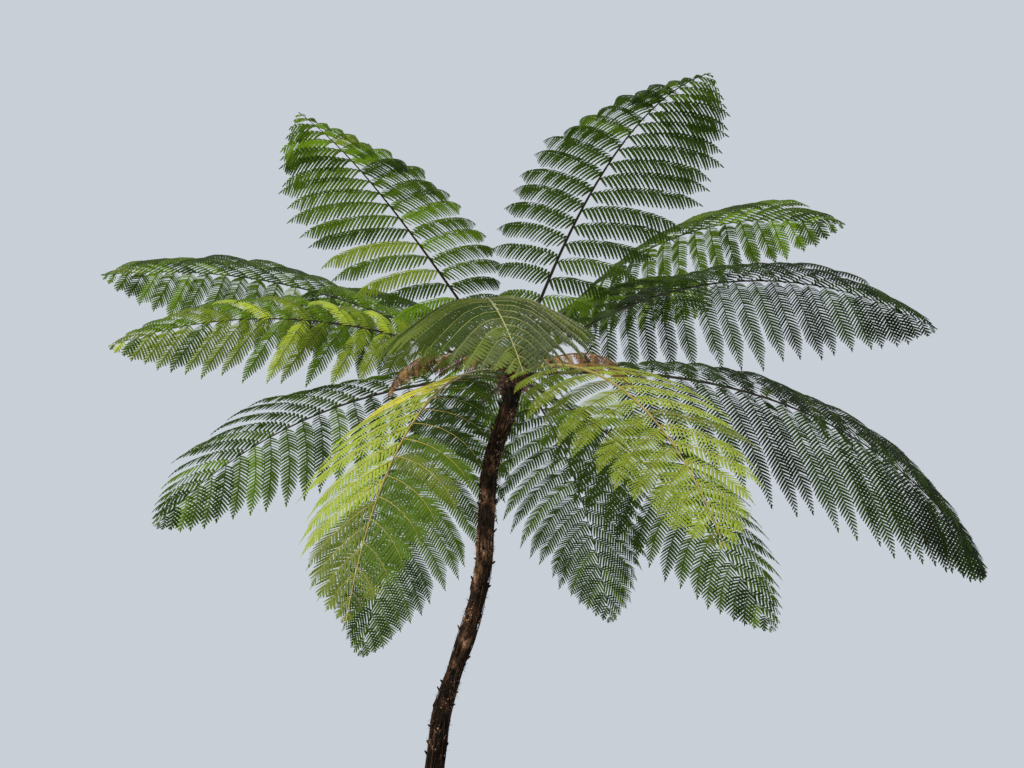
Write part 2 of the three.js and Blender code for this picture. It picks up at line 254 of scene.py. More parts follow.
# Ways of a frond along its blade: onwards, to its side and up from it.
def blade_frames(frond, shares):
    slope = np.radians(frond.launch - frond.droop * shares**frond.bend)
    turn = np.radians(frond.heading + frond.sweep * shares)
    level_side = np.stack([np.cos(turn), -np.sin(turn), 0 * turn], -1)
    level = np.cos(slope)
    along = np.stack([np.sin(turn) * level, np.cos(turn) * level, np.sin(slope)], -1)
    roll = np.radians(frond.roll * np.minimum(1, shares / ROLL_UNTIL))[..., None]
    side = level_side * np.cos(roll) - np.cross(level_side, along) * np.sin(roll)
    return along, side, np.cross(side, along)


# Middle line of a frond from its seat in the head.
def blade_line(frond, count):
    middles = (np.arange(count) + 0.5) / count
    along, _, _ = blade_frames(frond, middles)
    first, side, _ = blade_frames(frond, np.zeros(1))
    out = np.cross(UP, side[0])
    seat = SEAT_AT_LEVEL + SEAT_PER_DEGREE * frond.launch
    root = CROWN + out * head_radius(seat) + UP * seat - first[0] * ROOT_DEPTH
    steps = np.vstack([np.zeros(3), np.cumsum(along * frond.length / count, axis=0)])
    return root + steps


def on_line(line, shares):
    spots = np.clip(shares, 0, 1) * (len(line) - 1)
    low = np.minimum(spots.astype(int), len(line) - 2)
    part = (spots - low)[..., None]
    return line[low] * (1 - part) + line[low + 1] * part


# Outline of a blade as shares of its full leaflet length.
def leaflet_share(along):
    swell = lerp(STALK, 1, smoothstep(along, SWELL_FROM, FULL_FROM))
    late = np.maximum(0, (along - FULL_TO) / (1 - FULL_TO))
    return swell * (1 - NARROWING * late**ROUNDNESS)


# Collects points, faces and material numbers of one joined mesh.
class Heap:
    def __init__(self):
        self.points = []
        self.faces = []
        self.tones = []
        self.count = 0

    def add(self, points, triangles, tone):
        self.points.append(points)
        self.faces.append(triangles + self.count)
        self.tones.append(np.broadcast_to(tone, len(triangles)))
        self.count += len(points)

    def build(self, name, materials, smooth=True):
        points = np.concatenate(self.points)
        faces = np.concatenate(self.faces).astype(np.int32)
        tones = np.concatenate(self.tones).astype(np.int32)
        mesh = bpy.data.meshes.new(name)
        mesh.vertices.add(len(points))
        mesh.vertices.foreach_set("co", points.astype(np.float32).ravel())
        mesh.loops.add(faces.size)
        mesh.loops.foreach_set("vertex_index", faces.ravel())
        mesh.polygons.add(len(faces))
        mesh.polygons.foreach_set("loop_start", np.arange(len(faces), dtype=np.int32) * 3)
        mesh.polygons.foreach_set("material_index", tones)
        mesh.polygons.foreach_set("use_smooth", np.full(len(faces), smooth))
        for m in materials:
            mesh.materials.append(m)
        mesh.update(calc_edges=True)
        mesh.validate()
        piece = bpy.data.objects.new(name, mesh)
        bpy.context.scene.collection.objects.link(piece)
        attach(piece, "root")
        return piece


# Faces of a closed form: rings of points, then one point for each of its two ends.
def ring_faces(rows, sides):
    k = np.arange(sides)
    after = (k + 1) % sides
    faces = []
    for row in range(rows - 1):
        low = row * sides
        high = low + sides
        faces.append(np.stack([low + k, low + after, high + after], -1))
        faces.append(np.stack([low + k, high + after, high + k], -1))
    first_end = rows * sides
    top = first_end - sides
    faces.append(np.stack([after, k, np.full(sides, first_end)], -1))
    faces.append(np.stack([top + k, top + after, np.full(sides, first_end + 1)], -1))
    return np.concatenate(faces)


# Closed tube round a line, ending in a point.
def tube(line, radii, sides, start_side):
    tangent = unit(np.gradient(line, axis=0))
    across = unit(without(start_side, tangent))
    other = np.cross(tangent, across)
    turn = ring_turns(sides)[None, :, None]
    ring = np.cos(turn) * across[:, None] + np.sin(turn) * other[:, None]
    points = line[:, None] + ring * radii[:, None, None]
    ends = np.vstack([line[:1], line[-1:] + tangent[-1:] * radii[-1]])
    return np.vstack([points.reshape(-1, 3), ends]), ring_faces(len(line), sides)


# A tooth is a narrow folded blade with small points down both edges.
EDGE_AT = np.array([0.01, 0.24, 0.42, 0.59, 0.75, 0.90])
EDGE_WIDE = np.array([1.05, 0.80, 0.74, 0.64, 0.49, 0.27])
POINT_AT = np.array([0.22, 0.41, 0.58, 0.745, 0.90])
POINT_WIDE = np.array([0.98, 1.0, 0.92, 0.76, 0.53])
SPINE_AT = np.array([0.0, 0.33, 0.66, 1.0])
TOOTH_AT = np.concatenate([SPINE_AT, EDGE_AT, POINT_AT, EDGE_AT, POINT_AT])
TOOTH_SIDE = np.concatenate([0 * SPINE_AT, -EDGE_WIDE, -POINT_WIDE, EDGE_WIDE, POINT_WIDE])
TOOTH_FOLD = 0.36


# Faces of a tooth: four points on its spine, then edge and small points of each half.
def tooth_faces():
    faces = []
    first_half = len(SPINE_AT)
    second_half = first_half + len(EDGE_AT) + len(POINT_AT)
    for start, flip in ((first_half, False), (second_half, True)):
        e = [start + i for i in range(len(EDGE_AT))]
        half = [
            (0, 1, e[0]), (1, e[1], e[0]), (1, e[2], e[1]), (1, 2, e[2]), (2, e[3], e[2]),
            (2, e[4], e[3]), (2, 3, e[4]), (3, e[5], e[4]),
        ]
        half += [(e[i], e[i + 1], start + len(EDGE_AT) + i) for i in range(len(POINT_AT))]
        faces += [f[::-1] if flip else f for f in half]
    return np.array(faces)


TOOTH_FACES = tooth_faces()


# Teeth that leave their roots along inner and end along outer, with across as their width.
def add_teeth(heap, root, inner, outer, across, length, width, tone):
    at = TOOTH_AT[None, :, None]
    long = length[:, None, None]
    spine = root[:, None] + long * (inner[:, None] * (at - at**2 / 2) + outer[:, None] * at**2 / 2)
    normal = np.cross(inner + outer, across)
    normal = unit(np.where(normal[:, 2:] < 0, -normal, normal))
    side = TOOTH_SIDE[None, :, None] * width[:, None, None] / 2
    points = spine + side * across[:, None] - np.abs(side) * TOOTH_FOLD * normal[:, None]
    starts = np.arange(len(root))[:, None, None] * len(TOOTH_AT)
    faces = (TOOTH_FACES[None] + starts).reshape(-1, 3)
    heap.add(points.reshape(-1, 3), faces, np.repeat(tone, len(TOOTH_FACES)))


# Outline of a leaflet: lengths of its teeth from its root to its drawn-out tip.
TOOTH_AT_ROOT = 0.66
TOOTH_SWELL = 0.34
TOOTH_FULL_FROM = 0.12
TOOTH_FULL_TO = 0.68
TOOTH_FADE = 0.32
TOOTH_NARROWING = 0.86
TOOTH_ROUNDNESS = 1.2


def tooth_share(v):
    swell = TOOTH_AT_ROOT + TOOTH_SWELL * smoothstep(v, 0, TOOTH_FULL_FROM)
    late = np.maximum(0, (v - TOOTH_FULL_TO) / TOOTH_FADE)
    return swell * (1 - TOOTH_NARROWING * late**TOOTH_ROUNDNESS)


# How a leaflet swings towards the frond's tip, falls, and hooks down at its end.
LEAFLET_STEPS = 12
SWING = 13
LIFT = 0.08
FALL = 0.9
FALL_BEND = 1.1
TENT_FALL = 0.62
TENT_UNTIL = 0.55
HOOK = 0.5
HOOK_FROM = 0.8
HOOK_PART = 0.2

Place = namedtuple("Place", "root along side hand")
Shape = namedtuple("Shape", "length angle sag gap curl")


def leaflet_place(frond, line, part, hand):
    share = np.array([FIRST_LEAFLET + (LAST_LEAFLET - FIRST_LEAFLET) * part])
    along, side, _ = (x[0] for x in blade_frames(frond, share))
    return Place(on_line(line, share)[0], along, side, hand)


def leaflet_line(frond, place, shape):
    steps = (np.arange(LEAFLET_STEPS) + 0.5) / LEAFLET_STEPS
    bend = np.radians(shape.angle - SWING * steps**2)[:, None]
    fall = FALL * steps**FALL_BEND
    if frond.look == "grey":
        fall = TENT_FALL * smoothstep(steps, 0, TENT_UNTIL)
    hook = HOOK * np.maximum(0, steps - HOOK_FROM) / HOOK_PART
    drop = (fall - LIFT + hook + shape.curl * steps) * shape.sag
    outward = place.side * place.hand * np.sin(bend)
    heading = unit(place.along * np.cos(bend) + outward - UP * drop[:, None])
    path = np.cumsum(heading * shape.length / LEAFLET_STEPS, axis=0)
    return place.root + np.vstack([np.zeros(3), path]), heading


# Nearest that a line comes to the middle of the trunk below the crown.
FAR_AWAY = 1.0


def trunk_clearance(points):
    z = np.clip(points[:, 2], 0, TRUNK_HEIGHT + HEAD_BELOW)
    gap = np.linalg.norm(points[:, :2] - trunk_middle(z)[:, :2], axis=-1)
    return np.min(np.where(points[:, 2] < TRUNK_HEIGHT + HEAD_BELOW, gap, FAR_AWAY))


# Rows of teeth: their places on the leaflet, slants, hang, twist and widths.
FEWEST_TEETH = 5
FIRST_ROOM = 0.6
LAST_ROOM = 0.3
TOOTH_MOST = 0.36
ROOT_SLANT = 72
TIP_SLANT = 46
HANG_SHARE = 0.85
INNER_HANG = 0.18
OUTER_HANG = 0.95
OUTER_LEAN = 0.22
TOOTH_TWIST = 0.22
TOOTH_CHANCE = (0.90, 1.05)
SHORT_WIDTH = 0.5
WIDTH_GAIN = 0.6
ROW_SHIFT = 0.25
END_OVERLAP = 0.004
END_HANG = 0.3
END_LENGTH = 0.30
END_WIDTH = 0.45


def add_rows(teeth, frond, place, shape, line, heading, tone):
    look = LOOKS[frond.look]
    pairs = max(FEWEST_TEETH, int(round(shape.length / look.spacing)))
    room = shape.length / pairs
    longest = min(look.tooth * shape.gap, TOOTH_MOST * shape.length)
    v = (np.arange(pairs) + FIRST_ROOM) / (pairs + LAST_ROOM)
    spot = on_line(line, v)
    tangent = unit(on_line(np.vstack([heading, heading[-1:]]), v))
    across = unit(without(place.along, tangent))
    down = without(UP, tangent, HANG_SHARE)
    slant = np.radians(lerp(ROOT_SLANT, TIP_SLANT, v))[:, None]
    for hand in (-1, 1):
        base = tangent * np.cos(slant) + across * hand * np.sin(slant)
        inner = unit(base - down * INNER_HANG * frond.hang)
        outer = unit(base + tangent * OUTER_LEAN - down * OUTER_HANG * frond.hang)
        middle = unit(inner + outer)
        wide = unit(without(tangent, middle))
        twist = rng.normal(0, TOOTH_TWIST, (pairs, 1))
        wide = unit(wide + np.cross(middle, wide) * twist)
        size = longest * tooth_share(v) * rng.uniform(*TOOTH_CHANCE, pairs)
        width = room * look.fill * np.minimum(1, SHORT_WIDTH + size / longest * WIDTH_GAIN)
        shift = tangent * (room * ROW_SHIFT * hand)
        add_teeth(teeth, spot + shift, inner, outer, wide, size, width, np.full(pairs, tone))
    end = heading[-1:]
    hanging = unit(end - UP * END_HANG * frond.hang)
    size = np.array([longest * END_LENGTH])
    width = np.array([room * END_WIDTH])
    root = line[-1:] - end * END_OVERLAP
    add_teeth(teeth, root, end, hanging, unit(across[-1:]), size, width, np.array([tone]))


# One leaflet: its thin rib and its teeth, left out where it would touch the trunk.
TRUNK_ROOM = 0.085
FREE_FROM = 2
COSTA_ROOT = 0.0026
COSTA_TIP = 0.0008
COSTA_THIN = 0.45
COSTA_EVERY = 2
COSTA_SIDES = 3


def add_leaflet(teeth, ribs, frond, place, shape, tone, rib_tone):
    line, heading = leaflet_line(frond, place, shape)
    if trunk_clearance(line[FREE_FROM:]) < TRUNK_ROOM:
        return
    shares = np.linspace(0, 1, LEAFLET_STEPS + 1)
    radii = lerp(COSTA_ROOT, COSTA_TIP, shares) * min(1, COSTA_THIN + shape.length)
    points, faces = tube(line[::COSTA_EVERY], radii[::COSTA_EVERY], COSTA_SIDES, place.along)
    ribs.add(points, faces, rib_tone)
    add_rows(teeth, frond, place, shape, line, heading, tone)


# Painted sunlight and painted shade on the leaflets of one of the two nearest fronds, and withered
# leaflets of the other, as shares of their length.
SUNLIT_GOLD_UNTIL = 0.24
SUNLIT_LIME_UNTIL = 0.72
SHADED_UNTIL = 0.5
DEEP_CHANCE = 0.5
RUST_UNTIL = 0.16


def tone_of(frond, hand, part):
    chances = LOOKS[frond.look].chances
    names = list(chances)
    tone = names[rng.choice(len(names), p=list(chances.values()))]
    # Outer leaflets get painted sunlight that fades from gold through lime to olive, and inner ones near
    # the foot get painted shade.
    if frond.look == "sunlit_gold" and hand > 0:
        if part < SUNLIT_GOLD_UNTIL:
            tone = "sunlit_gold"
        elif part < SUNLIT_LIME_UNTIL:
            tone = "sunlit_lime"
        else:
            tone = "olive"
    elif frond.look == "sunlit_gold" and part < SHADED_UNTIL:
        tone = "deep" if rng.random() < DEEP_CHANCE else "mid"
    elif frond.look == "sunlit_lime" and hand < 0 and part < RUST_UNTIL:
        tone = "rust"
    return TONES.index(tone)


# A living frond: its rib, black and swollen at the foot, and its two rows of leaflets.
FROND_STEPS = 60
RIB_SIDES = 7
RIB_SWELL = 0.35
RIB_SWELL_PART = 0.02
BLACK_STEPS = 6
LENGTH_CHANCE = (0.94, 1.02)
ANGLE_CHANCE = (-2.5, 2.5)
SAG_CHANCE = (0.82, 1.14)


def add_rib(ribs, frond, line):
    shares = np.linspace(0, 1, len(line))
    _, side, _ = blade_frames(frond, shares)
    radii = lerp(RIB_BASE, RIB_TIP, shares**RIB_TAPER)
    radii = radii * (1 + RIB_SWELL * np.exp(-shares / RIB_SWELL_PART))
    points, faces = tube(line, radii, RIB_SIDES, side)
    tone = np.full(len(faces), RIB_TONES.index(LOOKS[frond.look].rib))
    tone[: 2 * RIB_SIDES * BLACK_STEPS] = RIB_TONES.index("black")
    ribs.add(points, faces, tone)


def add_frond(teeth, ribs, frond):
    line = blade_line(frond, FROND_STEPS)
    add_rib(ribs, frond, line)
    costa = RIB_TONES.index(LOOKS[frond.look].costa)
    gap = frond.length * (LAST_LEAFLET - FIRST_LEAFLET) / (frond.pairs - 1)
    for i in range(frond.pairs):
        for hand in (-1, 1):
            t = (i + STAGGER * (hand > 0) * (i > 0)) / (frond.pairs - 1)
            part = 1 - (1 - min(t, 1)) ** CROWDING
            place = leaflet_place(frond, line, part, hand)
            full = LEAFLET_LENGTH * leaflet_share(part) * frond.spread * rng.uniform(*LENGTH_CHANCE)
            if hand < 0:
                grown = smoothstep(part, INSIDE_SHORT_TO, INSIDE_FULL_FROM)
                full *= lerp(SHORT_INSIDE.get(frond.name, 1), 1, grown)
            angle = lerp(OPEN_ANGLE, CLOSED_ANGLE, part) + rng.uniform(*ANGLE_CHANCE)
            shape = Shape(full, angle, frond.sag * rng.uniform(*SAG_CHANCE), gap, 0.0)
            add_leaflet(teeth, ribs, frond, place, shape, tone_of(frond, hand, part), costa)


# A dead frond: a thin rib and short curled leaflets at all angles.
DEAD_STEPS = 28
DEAD_RIB_SIDES = 6
DEAD_RIB_BASE = 0.007
DEAD_RIB_TIP = 0.0014
DEAD_LEAFLET_LENGTH = 0.21
DEAD_LENGTH_CHANCE = (0.6, 1.1)
DEAD_ANGLES = (30, 80)
DEAD_CURLS = (0.5, 2.5)
DEAD_GAP = 0.05
DEAD_TONES = 2


def add_dead(teeth, ribs, frond):
    line = blade_line(frond, DEAD_STEPS)
    shares = np.linspace(0, 1, len(line))
    _, side, _ = blade_frames(frond, shares)
    radii = lerp(DEAD_RIB_BASE, DEAD_RIB_TIP, shares**RIB_TAPER)
    points, faces = tube(line, radii, DEAD_RIB_SIDES, side)
    ribs.add(points, faces, 0)
    for i in range(frond.pairs):
        for hand in (-1, 1):
            part = i / (frond.pairs - 1)
            place = leaflet_place(frond, line, part, hand)
            full = DEAD_LEAFLET_LENGTH * leaflet_share(part) * rng.uniform(*DEAD_LENGTH_CHANCE)
            angle = rng.uniform(*DEAD_ANGLES)
            tone = rng.integers(0, DEAD_TONES)
            shape = Shape(full, angle, frond.sag, DEAD_GAP, rng.uniform(*DEAD_CURLS))
            add_leaflet(teeth, ribs, frond, place, shape, tone, 0)


# Node materials; a new stop of a ramp starts in its middle.
NEW_STOP = 0.5


def new_material(name):
    material = bpy.data.materials.new(name)
    material.use_nodes = True
    tree = material.node_tree
    tree.nodes.clear()
    output = tree.nodes.new("ShaderNodeOutputMaterial")
    return material, tree, output


def noise_node(tree, scale, detail, rough, stretch=None):
    place = tree.nodes.new("ShaderNodeTexCoord")
    node = tree.nodes.new("ShaderNodeTexNoise")
    node.inputs["Scale"].default_value = scale
    node.inputs["Detail"].default_value = detail
    node.inputs["Roughness"].default_value = rough
    if stretch:
        mapping = tree.nodes.new("ShaderNodeMapping")
        mapping.inputs["Scale"].default_value = stretch
        tree.links.new(place.outputs["Object"], mapping.inputs["Vector"])
        tree.links.new(mapping.outputs["Vector"], node.inputs["Vector"])
    else:
        tree.links.new(place.outputs["Object"], node.inputs["Vector"])
    return node.outputs["Fac"]


def ramp_node(tree, source, stops):
    node = tree.nodes.new("ShaderNodeValToRGB")
    ramp = node.color_ramp
    while len(ramp.elements) < len(stops):
        ramp.elements.new(NEW_STOP)
    for element, (place, colour) in zip(ramp.elements, stops):
        element.position = place
        element.color = (*colour, 1)
    tree.links.new(source, node.inputs["Fac"])
    return node.outputs["Color"]


def bump_node(tree, source, strength, distance):
    node = tree.nodes.new("ShaderNodeBump")
    node.inputs["Strength"].default_value = strength
    node.inputs["Distance"].default_value = distance
    tree.links.new(source, node.inputs["Height"])
    return node.outputs["Normal"]


def surface_node(tree, colour, rough, specular, normal):
    node = tree.nodes.new("ShaderNodeBsdfPrincipled")
    tree.links.new(colour, node.inputs["Base Color"])
    node.inputs["Roughness"].default_value = rough
    node.inputs["Specular IOR Level"].default_value = specular
    tree.links.new(normal, node.inputs["Normal"])
    return node


# Leaf: patches of lighter and darker colour, fine grain, and light that passes through.
LEAF_PATCHES = {"scale": 7.0, "detail": 2.0, "rough": 0.55}
LEAF_GRAIN = {"scale": 160.0, "detail": 2.0, "rough": 0.55}
LEAF_DARK = (0.3, 0.72)
LEAF_LIGHT = (0.7, 1.2)
LEAF_BUMP = (0.25, 0.001)
LEAF_ROUGHNESS = 0.58
LEAF_SPECULAR = 0.2
LEAF_THROUGH = 0.42


def leaf_material(name, colour, through):
    material, tree, output = new_material(name)
    patches = noise_node(tree, **LEAF_PATCHES)
    stops = [(place, tuple(np.array(colour) * share)) for place, share in (LEAF_DARK, LEAF_LIGHT)]
    tint = ramp_node(tree, patches, stops)
    grain = bump_node(tree, noise_node(tree, **LEAF_GRAIN), *LEAF_BUMP)
    front = surface_node(tree, tint, LEAF_ROUGHNESS, LEAF_SPECULAR, grain)
    back = tree.nodes.new("ShaderNodeBsdfTranslucent")
    back.inputs["Color"].default_value = (*through, 1)
    mix = tree.nodes.new("ShaderNodeMixShader")
    mix.inputs["Fac"].default_value = LEAF_THROUGH
    tree.links.new(front.outputs[0], mix.inputs[1])
    tree.links.new(back.outputs[0], mix.inputs[2])
    tree.links.new(mix.outputs[0], output.inputs["Surface"])
    return material


# Grain and its stretch, ends of the blend from dark to light, roughness, bump, depth and gloss.
Finish = namedtuple("Finish", "grain stretch ends rough bump depth specular")
RIB_FINISH = Finish(22.0, (1, 1, 1), (0.3, 0.72), 0.42, 0.3, 0.002, 0.3)
DEAD_FINISH = Finish(30.0, (1, 1, 1), (0.3, 0.7), 0.8, 0.4, 0.002, 0.3)
ROOT_FINISH = Finish(40.0, (1, 1, 0.2), (0.3, 0.7), 0.9, 0.4, 0.002, 0.1)
TUFT_FINISH = Finish(40.0, (1, 1, 0.4), (0.3, 0.7), 0.85, 0.4, 0.002, 0.3)
HEAD_FINISH = Finish(24.0, (1, 1, 0.5), (0.35, 0.7), 0.85, 0.8, 0.004, 0.3)
SCALE_FINISH = Finish(60.0, (1, 1, 1), (0.3, 0.7), 0.6, 0.2, 0.001, 0.3)
FLAKE_FINISH = Finish(30.0, (1, 1, 0.4), (0.3, 0.7), 0.8, 0.4, 0.002, 0.3)
GRAIN_DETAIL = 5.0
GRAIN_ROUGHNESS = 0.6


def solid_material(name, finish, dark, light):
    material, tree, output = new_material(name)
    noise = noise_node(tree, finish.grain, GRAIN_DETAIL, GRAIN_ROUGHNESS, finish.stretch)
    tint = ramp_node(tree, noise, list(zip(finish.ends, (dark, light))))
    bump = bump_node(tree, noise, finish.bump, finish.depth)
    surface = surface_node(tree, tint, finish.rough, finish.specular, bump)
    tree.links.new(surface.outputs[0], output.inputs["Surface"])
    return material


# Leaflets and ribs of the living fronds.
leaves = [leaf_material(f"leaf_{tone}", *LEAF_COLOURS[tone]) for tone in TONES]
rib_materials = [solid_material(f"rib_{tone}", RIB_FINISH, *RIB_COLOURS[tone]) for tone in RIB_TONES]
by_name = {frond.name: frond for frond in FRONDS}
for group, slot_name, members in GROUPS:
    teeth = Heap()
    ribs = Heap()
    nodes = []
    for member in members:
        add_frond(teeth, ribs, by_name[member])
        if member in PARTED:
            nodes += [f"frond_{member}_inner", f"frond_{member}_outer"]
        else:
            nodes.append(f"frond_{member}")
    leaf_piece = teeth.build(f"leaflets_{group}", leaves, smooth=False)
    rib_piece = ribs.build(f"ribs_{group}", rib_materials)
    for piece in (leaf_piece, rib_piece):
        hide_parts(*nodes)

# Leaflets and ribs of the dead fronds.
dead_leaves = [
    solid_material("dead_leaf_red", DEAD_FINISH, (0.065, 0.030, 0.012), (0.200, 0.095, 0.036)),
    solid_material("dead_leaf_tan", DEAD_FINISH, (0.130, 0.070, 0.026), (0.330, 0.195, 0.075)),
]
teeth = Heap()
ribs = Heap()
for frond in DEAD:
    add_dead(teeth, ribs, frond)
dead_piece = teeth.build("leaflets_dead", dead_leaves)
dead_ribs = ribs.build("ribs_dead", [dead_leaves[0]])
for piece in (dead_piece, dead_ribs):
    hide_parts("frond_dead_right", "frond_dead_left")

# Trunk: fibre strands and old leaf scars stand out of the source's round outline.
TRUNK_SIDES = 64
TRUNK_ROWS = 800
RELIEF_INSET = 0.006

# Strands that wander up the trunk and fade in and out.
STRANDS = 24
STRAND_HEIGHT = 0.0045
STRAND_JITTER = (-0.1, 0.1)
STRAND_WIDTHS = (0.05, 0.11)
STRAND_FADES = (4.0, 14.0)
WANDER = (0.35, 0.2, 0.1)
WANDER_WAVES = (0.6, 3.0)
WANDER_RATE = 2.2

# Scars in a spiral, each a raised rim round a pit, and rougher higher up.
SCARS = 96
SCAR_FROM = 0.35
SCAR_MARGIN = 0.4
SCAR_ARM = 0.05
SCAR_HALF_WIDTH = 0.017
SCAR_HALF_HEIGHT = 0.026
SCAR_RISE = 0.009
SCAR_RISE_FROM = 0.4
SCAR_RISE_TO = 2.6
SCAR_LEAST = 0.003
PIT_DEPTH = 0.7
PIT_SIZE = 0.55

# Height, rows and columns of three sizes of uneven bumps.
BUMPS = ((0.0085, 40, 4), (0.0048, 120, 11), (0.0026, 330, 26))
LAST_ROW = 0.001


# Smooth random bumps over the trunk's height and round it.
def bumps(z, a, rows, columns):
    grid = rng.uniform(-1, 1, (rows + 1, columns))
    row = np.clip(z / TRUNK_HEIGHT, 0, 1) * (rows - LAST_ROW)
    column = (a / FULL_TURN) % 1 * columns
    row, column = np.broadcast_arrays(row, column)
    low = row.astype(int)
    left = column.astype(int) % columns
    right = (left + 1) % columns
    up = smoothstep(row - low, 0, 1)
    over = smoothstep(column - column.astype(int), 0, 1)
    lower = lerp(grid[low, left], grid[low, right], over)
    upper = lerp(grid[low + 1, left], grid[low + 1, right], over)
    return lerp(lower, upper, up)


def add_strand(relief, z, a, path):
    waves = rng.uniform(*WANDER_WAVES, 3)
    phases = rng.uniform(0, FULL_TURN, 4)
    for wave, phase, size in zip(waves, phases, WANDER):
        path = path + size * np.sin(z * wave * WANDER_RATE + phase)
    away = within_half_turn(a - path)
    strength = np.maximum(0, np.sin(z * rng.uniform(*STRAND_FADES) + phases[3]))
    relief += STRAND_HEIGHT * strength * np.exp(-((away / rng.uniform(*STRAND_WIDTHS)) ** 2))


def add_scar(relief, z, a, height, turn):
    away = within_half_turn(a - turn) * SCAR_ARM
    far = np.sqrt((away / SCAR_HALF_WIDTH) ** 2 + ((z - height) / SCAR_HALF_HEIGHT) ** 2)
    ragged = SCAR_RISE * smoothstep(height, SCAR_RISE_FROM, SCAR_RISE_TO) + SCAR_LEAST
    relief += ragged * (np.exp(-(far**4)) - PIT_DEPTH * np.exp(-((far / PIT_SIZE) ** 2)))


def trunk_relief(z, a):
    relief = np.zeros(np.broadcast(z, a).shape)
    for k in range(STRANDS):
        add_strand(relief, z, a, k * FULL_TURN / STRANDS + rng.uniform(*STRAND_JITTER))
    for k in range(SCARS):
        height = SCAR_FROM + (TRUNK_HEIGHT - SCAR_MARGIN) * k / SCARS
        add_scar(relief, z, a, height, k * GOLDEN_TURN)
    for size, rows, columns in BUMPS:
        relief += size * bumps(z, a, rows, columns)
    return relief - RELIEF_INSET


def trunk_mesh():
    z = np.linspace(0, TRUNK_HEIGHT, TRUNK_ROWS)
    turns = ring_turns(TRUNK_SIDES)
    radius = trunk_radius(z[:, None], turns) + trunk_relief(z[:, None], turns)
    points = trunk_middle(z)[:, None] + radius[..., None] * around(turns)
    ends = trunk_middle(np.array([0.0, TRUNK_HEIGHT]))
    return np.vstack([points.reshape(-1, 3), ends]), ring_faces(TRUNK_ROWS, TRUNK_SIDES)


# Bark: dark to pale brown patches under fine upright fibres; the patch colours are partly the bark's own
# dark brown and partly painted shade that darkens it.
BARK_PATCHES = {"scale": 7.0, "detail": 6.0, "rough": 0.66, "stretch": (1.0, 1.0, 0.60)}
BARK_FIBRES = {"scale": 46.0, "detail": 7.0, "rough": 0.74, "stretch": (1.0, 1.0, 0.38)}
BARK_COLOURS_AND_SHADE = [
    (0.38, (0.005, 0.004, 0.003)),
    (0.50, (0.014, 0.009, 0.006)),
    (0.56, (0.048, 0.024, 0.014)),
    (0.62, (0.160, 0.082, 0.047)),
    (0.70, (0.440, 0.270, 0.175)),
]
FIBRE_SHADES = [(0.34, (0.25, 0.23, 0.21)), (0.64, (1.0, 1.0, 1.0))]
BARK_BUMP = (1.0, 0.008)
BARK_ROUGHNESS = 0.9
BARK_SPECULAR = 0.1


def bark_material():
    material, tree, output = new_material("bark")
    fibres = noise_node(tree, **BARK_FIBRES)
    mix = tree.nodes.new("ShaderNodeMix")
    mix.data_type = "RGBA"
    mix.blend_type = "MULTIPLY"
    mix.inputs["Factor"].default_value = 1.0
    tree.links.new(ramp_node(tree, noise_node(tree, **BARK_PATCHES), BARK_COLOURS_AND_SHADE), mix.inputs["A"])
    tree.links.new(ramp_node(tree, fibres, FIBRE_SHADES), mix.inputs["B"])
    bump = bump_node(tree, fibres, *BARK_BUMP)
    surface = surface_node(tree, mix.outputs["Result"], BARK_ROUGHNESS, BARK_SPECULAR, bump)
    tree.links.new(surface.outputs[0], output.inputs["Surface"])
    return material


heap = Heap()
heap.add(*trunk_mesh(), 0)
trunk_piece = heap.build("trunk_bark", [bark_material()])
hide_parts("trunk")

# Narrow pointed scales of three faces that stand off a surface.
SCALE_FACES = np.array([(0, 1, 3), (0, 3, 2), (2, 3, 4)])
SCALE_POINTS = 5
SCALE_MIDDLE = 0.5
SCALE_MIDDLE_WIDTH = 0.8
SCALE_LEAN = 0.75
SCALE_TIP_OUT = 1.3
SCALE_TIP_UP = 0.7


def add_scales(heap, root, outward, upward, length, width, tones):
    across = unit(np.cross(outward, upward))
    lean = unit(outward * SCALE_LEAN + upward)
    tip = root + length[:, None] * unit(outward * SCALE_TIP_OUT + upward * SCALE_TIP_UP)
    middle = root + length[:, None] * SCALE_MIDDLE * lean
    half = across * width[:, None] / 2
    narrow = half * SCALE_MIDDLE_WIDTH
    points = np.stack([root - half, root + half, middle - narrow, middle + narrow, tip], 1)
    starts = np.arange(len(root))[:, None, None] * SCALE_POINTS
    faces = (SCALE_FACES[None] + starts).reshape(-1, 3)
    tones = np.broadcast_to(tones, len(root))
    heap.add(points.reshape(-1, 3), faces, np.repeat(tones, len(SCALE_FACES)))


# Points at a distance from the middle line of the trunk.
def off_trunk(z, turn, away):
    return trunk_middle(z) + around(turn) * np.asarray(away)[..., None]


# Bare stretch under the head, and how often a root or a stub is rusty.
TOP_MARGIN = 0.02
RUSTY_CHANCE = 0.25

# Wiry roots that run down over the trunk and bulge off it.
WIRES = 420
WIRE_STEPS = 10
WIRE_SIDES = 4
WIRE_FROM = 0.02
WIRE_MARGIN = 0.3
WIRE_LENGTHS = (0.08, 0.60)
WIRE_WANDER = 0.25
WIRE_WAVES = (2, 12)
WIRE_PHASES = (0, 6)
WIRE_BULGES = (0.2, 2.2)
WIRE_BULGE = 0.0036
WIRE_SUNK = 0.0025
WIRE_RADII = (0.0010, 0.0026)


